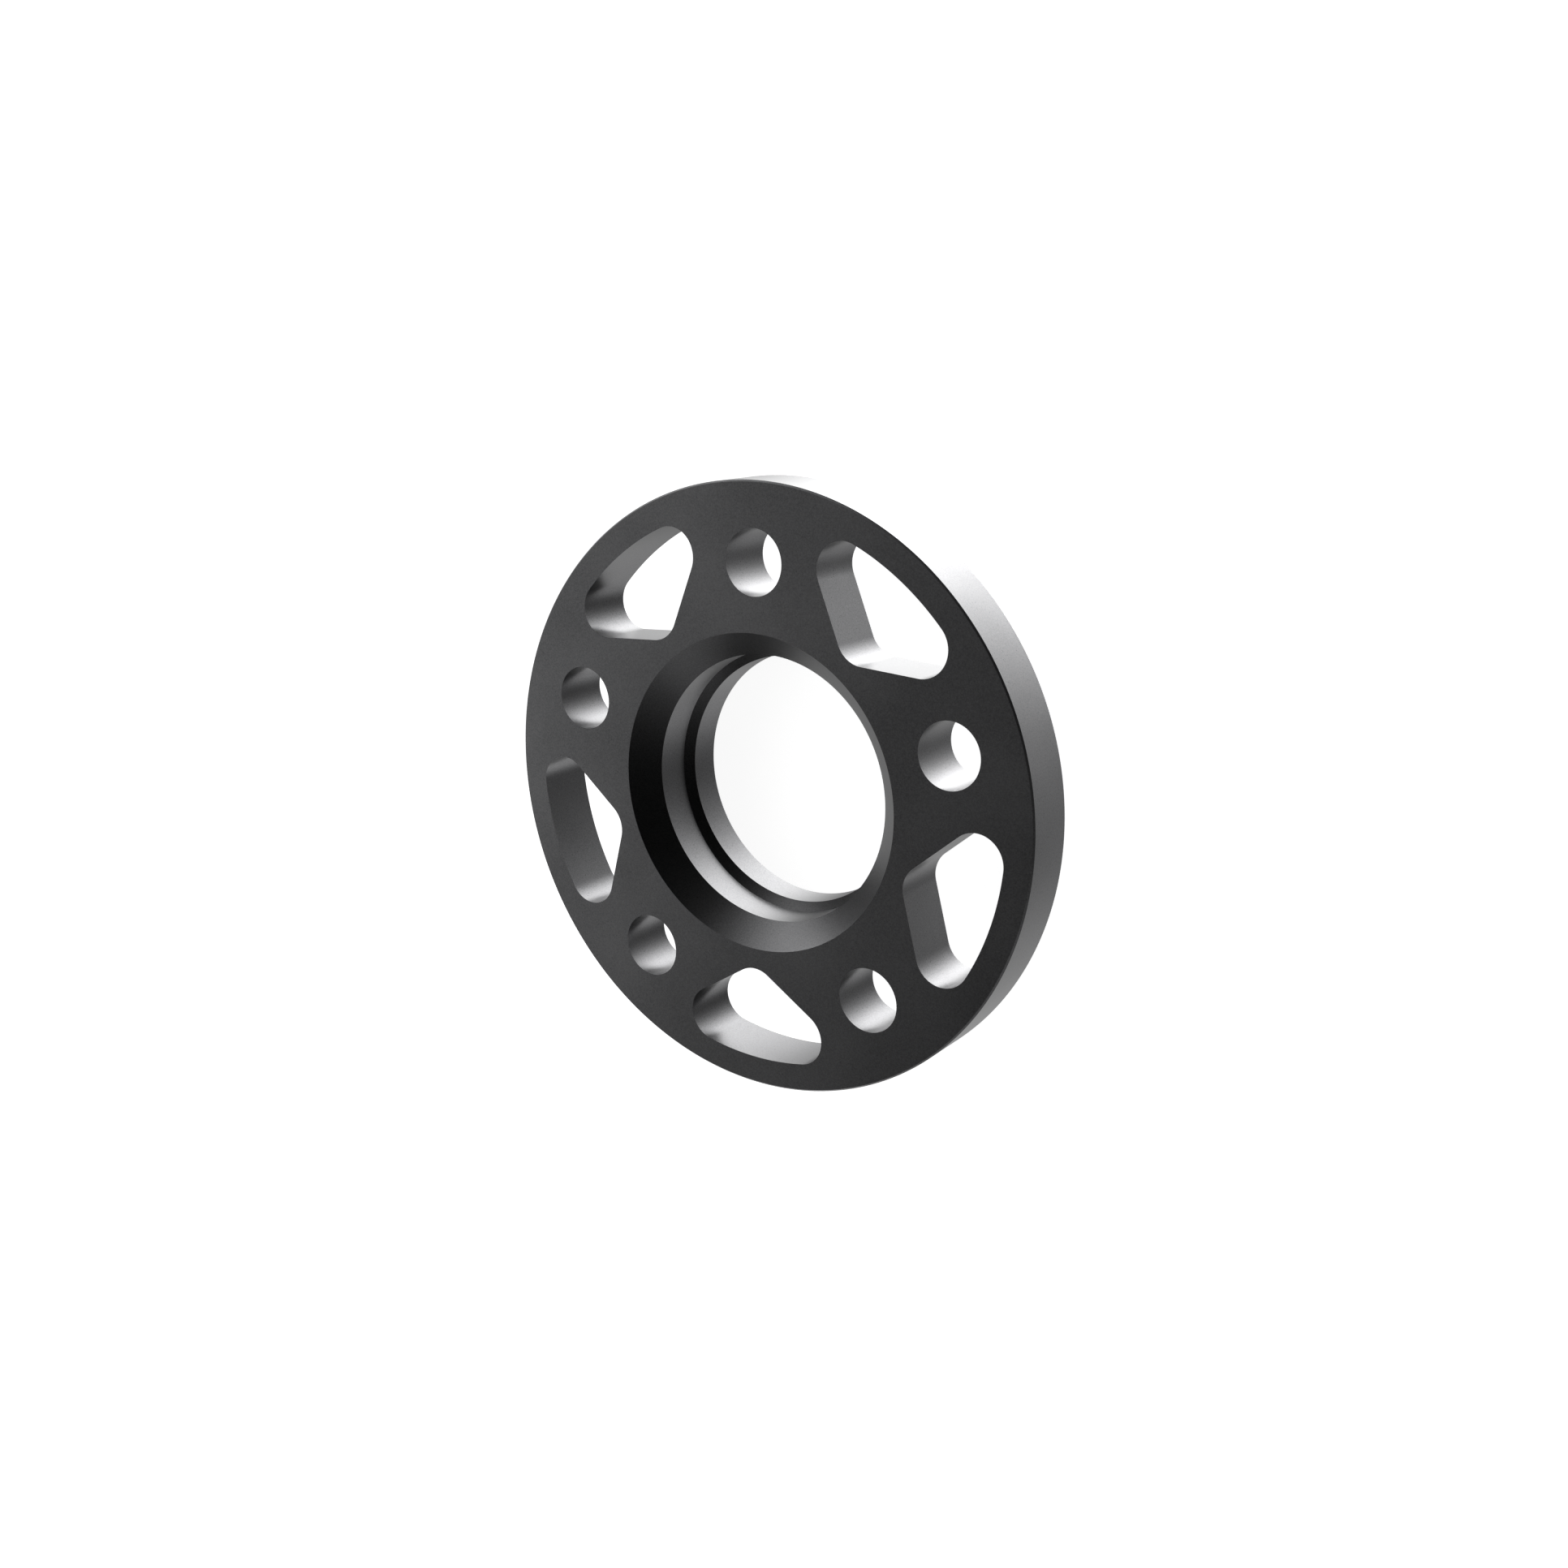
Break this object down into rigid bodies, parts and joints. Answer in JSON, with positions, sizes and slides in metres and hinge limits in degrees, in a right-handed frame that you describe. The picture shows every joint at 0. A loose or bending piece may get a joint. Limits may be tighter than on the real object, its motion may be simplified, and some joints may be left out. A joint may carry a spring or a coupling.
{
  "type": "wheel spacer",
  "caption": "Flat round wheel spacer with a stepped hub bore, a centring lip, bolt holes and rounded three-sided windows.",
  "frame": {"origin": "centre of the centring lip's free end, on the spacer's axis, at the height on which it rests", "axes": "+Z along the axis, out of the hub face; +Y towards one bolt hole"},
  "size_m": [0.15, 0.15, 0.025],
  "materials": {
    "black_anodised": "black anodised, satin"
  },
  "bodies": {
    "root": {"spacer_plate": "black_anodised"}
  },
  "joints": []
}
